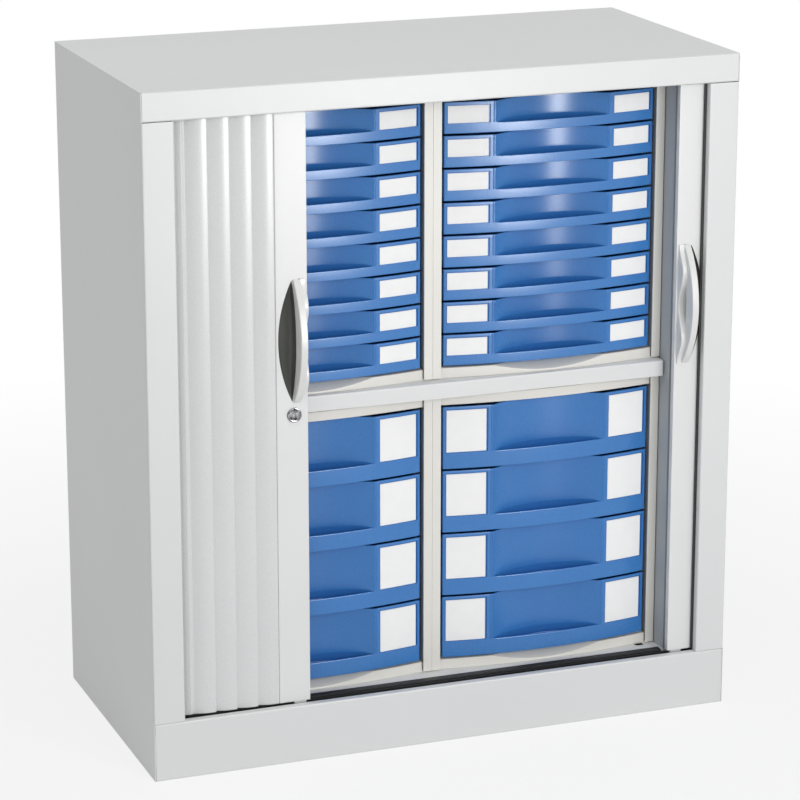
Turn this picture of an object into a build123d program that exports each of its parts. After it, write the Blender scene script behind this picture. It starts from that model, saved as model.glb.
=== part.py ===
from build123d import *
import os
from math import dist, floor, pi, sin, cos

# Roll front tool cabinet, in millimetres, +Z up, with its front towards -Y.
# The origin is on the floor, in the middle of the whole object's outline.
# A "depth" is measured back from the front plane of the cabinet's body.
# A "reach" is measured forward from the front face of a door's slats.
# The two doors run round the front corners, so a place along a door is given
# as a path length: the distance from the cabinet's middle, along the slats.

# ---- Overall sizes ------------------------------------------------------
body_width = 914.0
body_height = 1016.0
body_depth = 457.0

# ---- Carcass: folded sheet steel ----------------------------------------
sheet = 1.2
seam = 0.5              # open joint between two folded edges
plinth_height = 88.0
plinth_flange = 11.0    # top edge of the plinth, turned back
fascia_height = 42.0
fascia_lip = 11.0       # lower edge of the top panel, turned back
stile_width = 47.0
stile_return = 10.6     # inner edge of a stile, turned back
inner_flange = 15.0     # hidden flanges that the panels are joined by
base_level = 72.0       # underside of the base panel
floor_level = 87.0      # top of the floor plate
floor_plate_depth = 32.0
floor_plate_overlap = 15.0  # floor plate past the start of the doors' bend
ceiling_space = 19.0    # underside of the ceiling plate below the very top
access_hole = (14.0, 11.0)

# ---- Doors: path of the slats, and the tracks ---------------------------
curtain_depth = 20.0    # centre line of the closed slats
side_run_inset = 27.0   # centre line of the stowed slats, from the outside
corner_radius = 36.0
track_wall = 1.5
groove_width = 9.0
top_track_height = 14.0
bottom_track_drop = 0.5     # top of the bottom track below the floor plate
track_end_gap = 7.0     # end of the track to the back of the cabinet

# ---- Doors: slats -------------------------------------------------------
slat_pitch = 32.4
slat_thickness = 9.0
slat_gap = 0.4
slat_bevel = 2.7        # each inner edge, so that two slats can fold together
slat_foot_gap = 3.5     # slat's lower end above the bottom track
slat_head_gap = 2.0     # slat's upper end below the top track
pin_diameter = 5.0      # guide pins in the ends of the slats
pin_offset = 13.0       # guide pin from the middle of its slat
tail_pin_offset = -3.0  # front pin of the tail slat, which stays clear of the bend
pin_seat = 0.3          # pin above the floor of the groove
pin_head = 2.5          # pin below the roof of the groove

# ---- Doors: lead laths --------------------------------------------------
lath_width = 48.0
lath_rebate_width = 12.0    # outer edge of a lath, where it is thin
lath_rebate_thickness = 4.0
lath_tongue_inset = 6.0
lath_tongue = (18.0, 5.0)
closing_gap = 0.5       # half of the joint between the closed doors
liner_margin = 1.0      # open door short of the liner's inner face
tail_stop = 4.0         # tail slat short of the end of the track
left_door_edge = 212.0  # closing edge of the left door from the middle

# ---- Handles ------------------------------------------------------------
handle_height = 639.7   # middle of the handles above the floor
handle_length = 181.9
handle_end_reach = 2.7
wave_inner = 3.3        # waved ribbon, from the closing edge
wave_width = 10.4
wave_reach = 16.7
wave_crest = 51.0       # height of the two crests from the handle's middle
bow_inner = 11.2        # bowed ribbon, from the closing edge
bow_width = 10.8
bow_reach = 36.5
bow_thickness = 20.0
bow_foot = 14.0
cup_half_height = 90.0
cup_tip = 24.0          # tips and edges of the cup, from the closing edge
cup_inner = 19.0
cup_outer = 44.7
cup_depth = 13.0
cup_wall = 1.5
cup_fit = 0.15
screw_diameter = 4.0
screw_head = (8.0, 2.5)
screw_play = 0.3
screw_end_distance = 17.0   # screw from the end of the handle
screw_bite = 5.0

# ---- Lock ---------------------------------------------------------------
lock_height = 529.9
lock_inset = 21.4       # lock's axis from the closing edge
bezel_diameter = 22.0
bezel_reach = 2.4
sleeve_diameter = 19.0
sleeve_fit = 0.1
barrel_diameter = 15.8
barrel_fit = 0.05
barrel_reach = 1.8
key_slot = (9.0, 2.2)
key_slot_depth = 4.0
cam_width = 12.0
cam_thickness = 2.5
cam_length = 26.0
cam_gap = 0.1

# ---- Liners, shelf and its clips ----------------------------------------
side_bay = 87.0         # outside of the cabinet to a liner's inner face
liner_depth = 33.0
liner_return = 30.0
liner_slot = (2.5, 23.0)
liner_slot_inset = 2.6
shelf_height = 24.0
shelf_depth = 48.0
shelf_end_gap = 1.5
shelf_corner = 4.0
shelf_back_gap = 17.0
clip_width = 20.0
clip_ledge = 9.0
clip_thickness = 1.5
clip_hook = 6.0
clip_hook_height = 8.0
clip_inset = 40.0
clip_slot_play = 0.3
housing_under_shelf = 2.5

# ---- Drawer housings ----------------------------------------------------
housing_side_gap = 1.6
housing_middle_gap = 0.8
housing_head_room = 19.5
housing_back_gap = 17.0
housing_wall = 2.0
pillar_depth = 63.0
pillar_width = 13.2
pillar_thickness = 24.0
pillar_round = 5.0
pillar_lift = 1.8
bottom_rail = 16.0
top_rail = 15.0
rail_end_depth = 71.0
rail_middle_depth = 56.0
rail_back_depth = 90.0
rail_scoop_height = 13.0
rail_scoop_depth = 78.0     # back of the scoop at the rail's top edge

# ---- Drawers ------------------------------------------------------------
deep_rows = 4
shallow_rows = 8
drawer_gap = 3.2
front_side_gap = 1.05
front_end_depth = 71.0
front_middle_depth = 53.0
front_wall = 3.0
ledge_thickness = 2.5
grip_half_width = 88.0
grip_depth = 82.0       # back of the finger scoop
deep_lip = 24.5
shallow_lip = 14.5
label_post = 10.5       # plain strip between the scoop and the label
label_end_margin = 8.75
label_recess = 0.8
label_foot = 0.6
label_head = 4.2
tray_wall = 2.0
tray_side_gap = 2.1
tray_lift = 3.0         # underside of the tray above the front's lower edge
tray_head = 6.0         # top of the tray below the front's upper edge
tray_back_gap = 6.0
rib_thickness = 2.0
rib_clearance = 0.3
rib_overlap = 5.7       # runner rib under the side of a tray
rib_depth = 80.0
rib_end_gap = 13.0

# ---- Levelling feet -----------------------------------------------------
foot_inset = 113.0      # foot's axis from the outside
foot_front_depth = 65.5
foot_back_gap = 62.0
foot_pad = (38.0, 8.0)
stud_diameter = 10.0
stud_play = 0.3
stud_top_gap = 3.0
nut_width = 17.0
nut_height = 8.0

# ---- Worked out from the sizes above ------------------------------------
half_width = body_width / 2
inside = half_width - sheet
slat_face_depth = curtain_depth - slat_thickness / 2
slat_back_depth = curtain_depth + slat_thickness / 2
handle_proud = bow_reach - slat_face_depth
front_y = handle_proud - (body_depth + handle_proud) / 2
back_inside = body_depth - sheet
top_inside = body_height - sheet
opening_half = half_width - stile_width
stile_low = plinth_height + seam
stile_high = body_height - fascia_height - seam
ceiling_level = body_height - ceiling_space
base_top = base_level + sheet

side_run_x = half_width - side_run_inset
corner_x = side_run_x - corner_radius
corner_depth = curtain_depth + corner_radius
corner_end = corner_x + corner_radius * pi / 2
track_back = body_depth - track_end_gap
track_length = corner_end + track_back - corner_depth

bottom_track_top = floor_level - bottom_track_drop
groove_floor = base_top + track_wall
groove_roof = ceiling_level - track_wall
slat_low = bottom_track_top + slat_foot_gap
slat_high = ceiling_level - top_track_height - slat_head_gap
pin_low = groove_floor + pin_seat
pin_high = groove_roof - pin_head

liner_face = half_width - side_bay
flexible_slats = floor((corner_end - closing_gap - lath_width) / slat_pitch)
door_length = lath_width + (flexible_slats + 1) * slat_pitch
open_edge = min(liner_face - liner_margin, track_length - tail_stop - door_length)

housing_width = liner_face - housing_side_gap - housing_middle_gap / 2
housing_middle = (housing_middle_gap + housing_width) / 2
shelf_space = shelf_height + housing_under_shelf
stack_height = ceiling_level - floor_level - shelf_space - housing_head_room
housing_height = stack_height / 2
shelf_level = floor_level + housing_height + housing_under_shelf
upper_level = shelf_level + shelf_height
housing_half = housing_width / 2
pillar_inside = housing_half - pillar_width
housing_back = body_depth - housing_back_gap
front_half = pillar_inside - front_side_gap
tray_half = pillar_inside - tray_side_gap
tray_back = housing_back - housing_wall - tray_back_gap
opening_height = housing_height - bottom_rail - top_rail


def arc_radius(half_chord, rise):
    """Radius of the arc over a chord of twice half_chord, rise high in its middle."""
    return (half_chord**2 + rise**2) / (2 * rise)


def span(side, inner, outer):
    """Range of x from inner to outer, on the left (side -1) or on the right (side 1)."""
    return (inner, outer) if side > 0 else (-outer, -inner)


def level(z, x=0.0):
    """Horizontal plane at height z: x to the right, y back from the front plane."""
    return Plane(origin=(x, front_y, z))


def upright(depth):
    """Plane facing forward at a depth: x to the right, y up from the floor."""
    return Plane(origin=(0, front_y + depth, 0), x_dir=(1, 0, 0), z_dir=(0, -1, 0))


def block(x, depth, z, at=(0.0, 0.0), mode=Mode.ADD):
    """Straight block between (low, high) pairs, moved sideways and up by at."""
    with Locations((at[0] + sum(x) / 2, front_y + sum(depth) / 2, at[1] + sum(z) / 2)):
        Box(x[1] - x[0], depth[1] - depth[0], z[1] - z[0], mode=mode)


def save(piece, name):
    """Label a finished piece and write it as its own file."""
    piece.part.label = name
    export_step(piece.part, f"parts/{name}.step")


# ---- Carcass ------------------------------------------------------------
def top_panel():
    """Lid with a deep fascia in front, whose lower edge is turned back."""
    fascia_half = inside - seam
    fascia_low = body_height - fascia_height
    with BuildPart() as panel:
        block((-half_width, half_width), (0, body_depth), (top_inside, body_height))
        block((-fascia_half, fascia_half), (0, sheet), (fascia_low, body_height))
        block((-fascia_half, fascia_half), (0, fascia_lip), (fascia_low, fascia_low + sheet))
    save(panel, "top_panel")


def side_panel(side, name):
    """Outer sheet with the front stile and the hidden flanges folded from it."""
    outer = span(side, inside, half_width)
    flange = span(side, inside - inner_flange, half_width)
    stile = span(side, opening_half, half_width)
    with BuildPart() as panel:
        block(outer, (0, body_depth), (0, top_inside))
        block(stile, (0, sheet), (stile_low, stile_high))
        block(span(side, opening_half, opening_half + sheet), (0, stile_return), (stile_low, stile_high))
        block(flange, (sheet + seam, back_inside), (0, sheet))
        block(flange, (sheet, back_inside), (top_inside - sheet, top_inside))
        block(flange, (back_inside - sheet, back_inside), (0, top_inside))
    save(panel, name)


def back_panel():
    """Flat sheet between the side panels, screwed to their rear flanges."""
    with BuildPart() as panel:
        block((-inside, inside), (back_inside, body_depth), (0, top_inside))
    save(panel, "back_panel")


def plinth():
    """Front plate of the base, with its upper and lower edges turned back."""
    half = inside - seam
    foot_half = inside - inner_flange - seam
    with BuildPart() as plate:
        block((-half, half), (0, sheet), (0, plinth_height))
        block((-half, half), (0, plinth_flange), (plinth_height - sheet, plinth_height))
        block((-foot_half, foot_half), (0, inner_flange), (0, sheet))
    save(plate, "plinth")


def foot_places():
    """Centres (x, y) of the four feet."""
    foot_x = half_width - foot_inset
    depths = (foot_front_depth, body_depth - foot_back_gap)
    return [(x, front_y + depth) for x in (-foot_x, foot_x) for depth in depths]


def base_panel():
    """Structural sheet that the feet are screwed to and the bottom track lies on."""
    with BuildPart() as panel:
        block((-inside, inside), (sheet, back_inside - sheet), (base_level, base_top))
        with Locations([(x, y, base_level + sheet / 2) for x, y in foot_places()]):
            Cylinder(stud_diameter / 2 + stud_play, 2 * sheet, mode=Mode.SUBTRACT)
    save(panel, "base_panel")


def floor_plate():
    """Inner floor, its front edge turned down, with a hole over each front foot."""
    half = corner_x + floor_plate_overlap
    back_edge = (back_inside - sheet, back_inside)
    foot_x = half_width - foot_inset
    with BuildPart() as plate:
        block((-half, half), (floor_plate_depth, back_inside), (floor_level - sheet, floor_level))
        block((-half, half), (floor_plate_depth, floor_plate_depth + sheet), (base_top, floor_level))
        block((-half, half), back_edge, (base_top, floor_level))
        hole_y = front_y + foot_front_depth
        with Locations([(x, hole_y, floor_level - sheet / 2) for x in (-foot_x, foot_x)]):
            Box(*access_hole, 2 * sheet, mode=Mode.SUBTRACT)
    save(plate, "floor_plate")


def ceiling_plate():
    """Inner ceiling that carries the top track."""
    rear_inside = back_inside - sheet
    with BuildPart() as plate:
        block((-inside, inside), (sheet, rear_inside), (ceiling_level, ceiling_level + sheet))
    save(plate, "ceiling_plate")


def liner(side, name):
    """Upright sheet between the housings and the stowed slats, slotted for the shelf."""
    return_edge = liner_face + liner_return
    slot_x = liner_face + liner_slot_inset
    slot_low = shelf_level + shelf_height / 2 - liner_slot[1] / 6
    hook_x = span(side, liner_face - sheet, liner_face + 2 * sheet)
    heights = (floor_level, ceiling_level)
    with BuildPart() as sheet_liner:
        block(span(side, liner_face, liner_face + sheet), (liner_depth, back_inside - sheet), heights)
        block(span(side, liner_face, return_edge), (liner_depth, liner_depth + sheet), heights)
        block(
            span(side, slot_x, slot_x + liner_slot[0]),
            (liner_depth - sheet, liner_depth + 2 * sheet),
            (slot_low, slot_low + liner_slot[1]),
            mode=Mode.SUBTRACT,
        )
        for depth in clip_depths():
            half = clip_width / 2 + clip_slot_play
            low, high = hook_range()
            slot_heights = (low - clip_slot_play, high + clip_slot_play)
            block(hook_x, (depth - half, depth + half), slot_heights, mode=Mode.SUBTRACT)
    save(sheet_liner, name)


# ---- Shelf --------------------------------------------------------------
def clip_depths():
    """Depths of the front and back shelf clips."""
    return (shelf_depth + clip_inset, body_depth - shelf_back_gap - clip_inset)


def hook_range():
    """Heights between which a shelf clip passes through the liner."""
    middle = shelf_level + shelf_height / 2
    return (middle - clip_hook_height / 2, middle + clip_hook_height / 2)


def mid_shelf():
    """Shallow upside-down tray of folded sheet with rounded front corners."""
    half = liner_face - shelf_end_gap
    with BuildPart() as shelf:
        block((-half, half), (shelf_depth, body_depth - shelf_back_gap), (shelf_level, upper_level))
        front_corners = shelf.edges().filter_by(Axis.Z).group_by(Axis.Y)[0]
        fillet(front_corners, radius=shelf_corner)
        offset(amount=-sheet, openings=shelf.faces().sort_by(Axis.Z)[0])
    save(shelf, "mid_shelf")


def shelf_clips():
    """Four clips: a hook through the liner, an upright and a ledge under the shelf."""
    clip_x = liner_face - clip_thickness
    with BuildPart() as clips:
        for side in (-1, 1):
            for depth in clip_depths():
                width = (depth - clip_width / 2, depth + clip_width / 2)
                low, high = hook_range()
                ledge_low = shelf_level - clip_thickness
                block(span(side, liner_face - clip_ledge, liner_face), width, (ledge_low, shelf_level))
                block(span(side, clip_x, liner_face), width, (ledge_low, high))
                block(span(side, clip_x, liner_face + clip_hook), width, (low, high))
    save(clips, "shelf_clips")


# ---- Tracks -------------------------------------------------------------
def curtain_band(z, half):
    """Plan of a band along the slats' path, reaching half to each side of it."""
    run_middle = (corner_depth + track_back) / 2
    run_length = track_back - corner_depth
    with BuildSketch(level(z)) as band:
        for side in (-1, 1):
            with Locations((side * corner_x, corner_depth)):
                Circle(corner_radius + half)
                Circle(corner_radius - half, mode=Mode.SUBTRACT)
            with Locations((side * (corner_x - corner_radius), corner_depth)):
                Rectangle(2 * corner_radius, 4 * corner_radius, mode=Mode.SUBTRACT)
            with Locations((side * corner_x, corner_depth + corner_radius)):
                Rectangle(4 * corner_radius, 2 * corner_radius, mode=Mode.SUBTRACT)
        for side in (-1, 1):
            with Locations((side * side_run_x, run_middle)):
                Rectangle(2 * half, run_length)
        with Locations((0, curtain_depth)):
            Rectangle(2 * corner_x, 2 * half)
    return band.sketch


def track(low, high, groove_low, groove_high, name):
    """Channel along the whole path of the slats, open towards them."""
    half = groove_width / 2
    with BuildPart() as channel:
        extrude(curtain_band(low, half + track_wall), amount=high - low)
        extrude(curtain_band(groove_low, half), amount=groove_high - groove_low, mode=Mode.SUBTRACT)
    save(channel, name)


# ---- Slats --------------------------------------------------------------
def path_point(length):
    """Point (x, depth) on the right half of the slats' path."""
    if length <= corner_x:
        return (length, curtain_depth)
    if length <= corner_end:
        turn = (length - corner_x) / corner_radius
        return (corner_x + corner_radius * sin(turn), corner_depth - corner_radius * cos(turn))
    return (side_run_x, corner_depth + length - corner_end)


def next_joint(length):
    """Path length of the next slat joint, one pitch away in a straight line."""
    near = length
    far = length + slat_pitch * pi / 2
    for _ in range(40):
        middle = (near + far) / 2
        if dist(path_point(length), path_point(middle)) < slat_pitch:
            near = middle
        else:
            far = middle
    return near


def slat_joints(door_edge):
    """Path lengths of the joints between the slats of a door."""
    joints = [door_edge + lath_width]
    for _ in range(flexible_slats + 1):
        joints.append(next_joint(joints[-1]))
    return joints


def slat_plane(side, start, end):
    """Plane across the slat between two joints, y towards the inside."""
    near = path_point(start)
    far = path_point(end)
    origin = (side * (near[0] + far[0]) / 2, front_y + (near[1] + far[1]) / 2, slat_low)
    return Plane(origin=origin, x_dir=(far[0] - near[0], side * (far[1] - near[1]), 0), z_dir=(0, 0, 1))


def slat_section(plane):
    """Flat outer face and bevelled inner edges, so that two slats can fold."""
    outer = (slat_pitch - slat_gap) / 2
    inner = outer - slat_bevel
    half = slat_thickness / 2
    right_edge = [(outer, -half), (outer, 0), (inner, half)]
    left_edge = [(-inner, half), (-outer, 0), (-outer, -half)]
    with BuildSketch(plane) as section:
        Polygon(*right_edge, *left_edge, align=None)
    return section.sketch


def add_slat(plane, pin_offsets):
    """One slat and its guide pins, which run in the grooves of the two tracks."""
    extrude(slat_section(plane), amount=slat_high - slat_low)
    with BuildSketch(plane.offset(pin_low - slat_low)) as pins:
        with Locations([(offset, 0) for offset in pin_offsets]):
            Circle(pin_diameter / 2)
    extrude(pins.sketch, amount=pin_high - pin_low)


def slats(side, joints, name):
    """Every slat between the given joints, with two pins at each end."""
    with BuildPart() as curtain:
        for start, end in zip(joints, joints[1:]):
            add_slat(slat_plane(side, start, end), (-pin_offset, pin_offset))
    save(curtain, name)


def tail_slat(side, joints, name):
    """Last slat of a door, with its pins towards the back, so that it stays straight."""
    with BuildPart() as slat:
        add_slat(slat_plane(side, *joints), (side * tail_pin_offset, side * pin_offset))
    save(slat, name)


# ---- Lead laths, cups, handles and their screws -------------------------
def cup_outline(side, edge, depth, shrink):
    """Upright lens shape of the finger cup, made smaller by shrink."""
    tip = side * (edge + cup_tip)
    inner = side * (edge + cup_inner)
    outer = side * (edge + cup_outer)
    top = handle_height + cup_half_height
    bottom = handle_height - cup_half_height
    with BuildSketch(upright(depth)) as outline:
        with BuildLine():
            ThreePointArc((tip, bottom), (inner, handle_height), (tip, top))
            ThreePointArc((tip, top), (outer, handle_height), (tip, bottom))
        make_face()
        if shrink:
            offset(amount=-shrink)
    return outline.sketch


def screw_places(side, edge):
    """Positions (x, z) of the two screws of a handle."""
    x = side * (edge + wave_inner + wave_width / 2)
    rise = handle_length / 2 - screw_end_distance
    return [(x, handle_height - rise), (x, handle_height + rise)]


def round_bar(places, diameter, depth, length, mode=Mode.ADD):
    """Bars from a depth backwards, at (x, z) places, in the part being built."""
    with BuildSketch(upright(depth)) as bar:
        with Locations(*places):
            Circle(diameter / 2)
    extrude(bar.sketch, amount=-length, mode=mode)


def lead_lath(side, edge, lock_place, name):
    """Stiff first slat of a door, with holes for its cup, screws and lock."""
    thick_end = edge + lath_width - lath_rebate_width
    tongue_start = edge + lath_tongue_inset
    tongue_x = span(side, tongue_start, tongue_start + lath_tongue[0])
    tongue_depth = (curtain_depth - lath_tongue[1] / 2, curtain_depth + lath_tongue[1] / 2)
    rebate_depth = (slat_face_depth, slat_face_depth + lath_rebate_thickness)
    through = 2 * slat_thickness
    with BuildPart() as lath:
        block(span(side, edge, thick_end), (slat_face_depth, slat_back_depth), (slat_low, slat_high))
        block(span(side, edge, edge + lath_width), rebate_depth, (slat_low, slat_high))
        block(tongue_x, tongue_depth, (pin_low, pin_high))
        extrude(cup_outline(side, edge, slat_face_depth, 0), amount=-through, mode=Mode.SUBTRACT)
        holes = screw_places(side, edge)
        round_bar(holes, screw_diameter + screw_play, slat_face_depth, through, Mode.SUBTRACT)
        if lock_place:
            lock_hole = sleeve_diameter + 2 * sleeve_fit
            round_bar([lock_place], lock_hole, slat_face_depth, through, Mode.SUBTRACT)
    save(lath, name)


def handle_cup(side, edge, name):
    """Lens-shaped dish set into the lath, where the fingers go behind the bow."""
    with BuildPart() as cup:
        extrude(cup_outline(side, edge, slat_face_depth, cup_fit), amount=-cup_depth)
        hollow = cup_outline(side, edge, slat_face_depth, cup_fit + cup_wall)
        extrude(hollow, amount=-(cup_depth - cup_wall), mode=Mode.SUBTRACT)
    save(cup, name)


def handle_plane(side, inner, width):
    """Upright plane at a ribbon's right edge: x forward from the lath, y up."""
    right = max(span(side, inner, inner + width))
    origin = (right, front_y + slat_face_depth, handle_height)
    return Plane(origin=origin, x_dir=(0, -1, 0), z_dir=(-1, 0, 0))


def handle(side, edge, name):
    """Two ribbons side by side: a solid one with two waves, and a free bow."""
    end = handle_length / 2
    foot = end - bow_foot
    with BuildPart() as pull:
        with BuildSketch(handle_plane(side, edge + wave_inner, wave_width)):
            with BuildLine():
                Spline(
                    (handle_end_reach, -end),
                    (wave_reach, -wave_crest),
                    (handle_end_reach, 0),
                    (wave_reach, wave_crest),
                    (handle_end_reach, end),
                )
                Polyline((handle_end_reach, end), (0, end), (0, -end), (handle_end_reach, -end))
            make_face()
        extrude(amount=wave_width)
        with BuildSketch(handle_plane(side, edge + bow_inner, bow_width)):
            with BuildLine():
                ThreePointArc((handle_end_reach, -end), (bow_reach, 0), (handle_end_reach, end))
                Polyline((handle_end_reach, end), (0, end), (0, foot))
                ThreePointArc((0, foot), (bow_reach - bow_thickness, 0), (0, -foot))
                Polyline((0, -foot), (0, -end), (handle_end_reach, -end))
            make_face()
        extrude(amount=bow_width)
        bite_depth = slat_face_depth - screw_bite
        round_bar(screw_places(side, edge), screw_diameter, bite_depth, screw_bite, Mode.SUBTRACT)
    save(pull, name)


def handle_screws(side, edge, name):
    """Two screws from behind the lath into the handle."""
    head_diameter, head_height = screw_head
    shank = screw_bite + slat_thickness
    with BuildPart() as screws:
        round_bar(screw_places(side, edge), screw_diameter, slat_face_depth - screw_bite, shank)
        round_bar(screw_places(side, edge), head_diameter, slat_back_depth, head_height)
    save(screws, name)


# ---- Lock ---------------------------------------------------------------
def lock(place):
    """Cam lock in the left lath: a bezel with its sleeve, the barrel and the cam."""
    sleeve_length = slat_thickness
    front = slat_face_depth
    bore = barrel_diameter + 2 * barrel_fit
    with BuildPart() as bezel:
        round_bar([place], bezel_diameter, front - bezel_reach, bezel_reach)
        chamfer(bezel.edges().group_by(Axis.Y)[0], length=bezel_reach / 3)
        round_bar([place], sleeve_diameter, front, sleeve_length)
        round_bar([place], bore, front - bezel_reach, bezel_reach + sleeve_length, Mode.SUBTRACT)
    save(bezel, "lock_bezel")

    with BuildPart() as barrel:
        round_bar([place], barrel_diameter, front - barrel_reach, barrel_reach + sleeve_length)
        with BuildSketch(upright(front - barrel_reach)) as slot:
            with Locations(place):
                SlotOverall(*key_slot, rotation=90)
        extrude(slot.sketch, amount=-key_slot_depth, mode=Mode.SUBTRACT)
        round_bar([place], barrel_diameter / 2, slat_back_depth, cam_gap + cam_thickness)
    save(barrel, "lock_barrel")

    with BuildPart() as cam:
        with BuildSketch(upright(slat_back_depth + cam_gap)):
            with Locations((place[0], place[1] - cam_length / 2 + cam_width / 4)):
                SlotOverall(cam_length + cam_width / 2, cam_width, rotation=90)
            with Locations(place):
                Circle(barrel_diameter / 4, mode=Mode.SUBTRACT)
        extrude(amount=-cam_thickness)
    save(cam, "lock_cam")


# ---- Drawer housings ----------------------------------------------------
def front_heights(rows):
    """Height of one drawer front and the pitch of a column of that many drawers."""
    height = (opening_height - (rows + 1) * drawer_gap) / rows
    return height, height + drawer_gap


def drawer_level(row, rows):
    """Lower edge of a drawer front above the bottom of its housing."""
    return bottom_rail + drawer_gap + row * front_heights(rows)[1]


def housing(x_mid, z_low, rows, name):
    """Shell with two rounded pillars, two bowed rails and a rib under every drawer."""
    at = (x_mid, z_low)
    rail_bow = arc_radius(pillar_inside, rail_end_depth - rail_middle_depth)
    rail_thickness = rail_back_depth - rail_middle_depth
    sheet_depth = (pillar_depth + pillar_round, housing_back)
    tray_top = tray_lift + tray_wall
    with BuildPart() as shell:
        for low, high in ((0, bottom_rail), (housing_height - top_rail, housing_height)):
            with BuildSketch(level(z_low + low, x_mid)):
                with Locations((0, rail_middle_depth + rail_bow)):
                    Circle(rail_bow)
                with Locations((0, (rail_middle_depth + rail_back_depth) / 2)):
                    Rectangle(2 * pillar_inside, rail_thickness, mode=Mode.INTERSECT)
            extrude(amount=high - low)
        rail_scoop(x_mid, z_low)
        for side in (-1, 1):
            with BuildSketch(level(z_low + pillar_lift, x_mid)):
                pillar_x = side * (pillar_inside + housing_half) / 2
                with Locations((pillar_x, pillar_depth + pillar_thickness / 2)):
                    pillar = Rectangle(pillar_width, pillar_thickness)
                fillet(pillar.vertices().group_by(Axis.Y)[0], radius=pillar_round)
            extrude(amount=housing_height - pillar_lift)
            block(span(side, housing_half - housing_wall, housing_half), sheet_depth, (0, housing_height), at)
            for row in range(rows):
                rib_top = drawer_level(row, rows) + tray_lift - rib_clearance
                rib_x = span(side, tray_half - rib_overlap, housing_half - housing_wall)
                block(rib_x, (rib_depth, housing_back - rib_end_gap), (rib_top - rib_thickness, rib_top), at)
        outline = (-housing_half, housing_half)
        cover_depth = (rail_end_depth, housing_back)
        block(outline, cover_depth, (0, housing_wall), at)
        block(outline, cover_depth, (housing_height - housing_wall, housing_height), at)
        block(outline, (housing_back - housing_wall, housing_back), (0, housing_height), at)
    save(shell, name)


def rail_scoop(x_mid, z_low):
    """Finger space under the lowest drawer: the rail cut by a leaning cylinder."""
    run = rail_scoop_depth - rail_middle_depth
    lean = Vector(0, run, rail_scoop_height).normalized()
    radius = arc_radius(grip_half_width, run)
    top_back = Vector(x_mid, front_y + rail_scoop_depth, z_low + bottom_rail)
    across = Plane(origin=top_back, x_dir=(1, 0, 0), z_dir=lean)
    reach = radius * run / rail_scoop_height + body_depth
    with BuildSketch(across.offset(-body_depth)) as cylinder:
        with Locations((0, radius * lean.Z * cylinder_side(across))):
            Circle(radius * lean.Z)
    extrude(cylinder.sketch, amount=reach, mode=Mode.SUBTRACT)


def cylinder_side(plane):
    """Sign of the plane's y axis that points forward."""
    return 1 if plane.y_dir.Y < 0 else -1


# ---- Drawers ------------------------------------------------------------
front_bow = arc_radius(front_half, front_end_depth - front_middle_depth)
grip_front_depth = front_middle_depth + front_bow - (front_bow**2 - grip_half_width**2) ** 0.5
grip_bow = arc_radius(grip_half_width, grip_depth - grip_front_depth)


def bow_disc(inset, mode=Mode.ADD):
    """Disc in the sketch being drawn, its front edge inset behind the drawer fronts."""
    with Locations((0, front_middle_depth + front_bow)):
        Circle(front_bow - inset, mode=mode)


def grip_disc(growth, mode=Mode.ADD):
    """Disc in the sketch being drawn, its back edge growth behind the finger scoop."""
    with Locations((0, grip_depth - grip_bow)):
        Circle(grip_bow + growth, mode=mode)


def strip(x, depth, mode=Mode.INTERSECT):
    """Rectangle in the sketch being drawn, between (low, high) pairs."""
    with Locations((sum(x) / 2, sum(depth) / 2)):
        Rectangle(x[1] - x[0], depth[1] - depth[0], mode=mode)


def drawer(x_mid, z_low, front_height, lip, name):
    """Moulded drawer: bowed front with a pull lip, a finger scoop and label recesses."""
    at = (x_mid, z_low)
    front_range = (front_middle_depth - front_wall, grip_depth + 2 * front_wall)
    tray_high = front_height - tray_head
    side_depth = (front_end_depth, tray_back)
    label_x = (grip_half_width + label_post, front_half - label_end_margin)
    label_range = (lip + label_foot, front_height - label_head)
    with BuildPart() as tray:
        with BuildSketch(level(z_low, x_mid)):
            bow_disc(0)
            bow_disc(front_wall, Mode.SUBTRACT)
            strip((-front_half, front_half), front_range)
        extrude(amount=front_height)
        with BuildSketch(level(z_low + lip - ledge_thickness, x_mid)):
            grip_disc(front_wall)
            bow_disc(0, Mode.INTERSECT)
        extrude(amount=front_height - lip + ledge_thickness)
        with BuildSketch(level(z_low + lip, x_mid)):
            grip_disc(0)
        extrude(amount=front_height - lip, mode=Mode.SUBTRACT)
        with BuildSketch(level(z_low + tray_lift, x_mid)):
            bow_disc(front_wall / 2)
            strip((-tray_half, tray_half), (front_middle_depth, tray_back))
        extrude(amount=tray_wall)
        for side in (-1, 1):
            block(span(side, tray_half - tray_wall, tray_half), side_depth, (tray_lift, tray_high), at)
            with BuildSketch(level(z_low + label_range[0], x_mid)):
                bow_disc(-label_recess)
                bow_disc(label_recess, Mode.SUBTRACT)
                strip(span(side, *label_x), front_range)
            extrude(amount=label_range[1] - label_range[0], mode=Mode.SUBTRACT)
        block((-tray_half, tray_half), (tray_back - tray_wall, tray_back), (tray_lift, tray_high), at)
    save(tray, name)


# ---- Levelling feet -----------------------------------------------------
def levelling_feet():
    """Four feet: a pad, a stud up through the base panel and a nut under it."""
    pad_diameter, pad_height = foot_pad
    stud_top = floor_level - sheet - stud_top_gap
    up = (Align.CENTER, Align.CENTER, Align.MIN)
    with BuildPart() as feet:
        with Locations([(x, y, 0) for x, y in foot_places()]):
            Cylinder(pad_diameter / 2, pad_height, align=up)
            Cylinder(stud_diameter / 2, stud_top, align=up)
        with BuildSketch(Plane.XY.offset(base_level - nut_height)):
            with Locations(*foot_places()):
                RegularPolygon(nut_width / 2, 6, major_radius=False)
        extrude(amount=nut_height)
    save(feet, "levelling_feet")


# ---- The cabinet --------------------------------------------------------
os.makedirs("parts", exist_ok=True)

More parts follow.
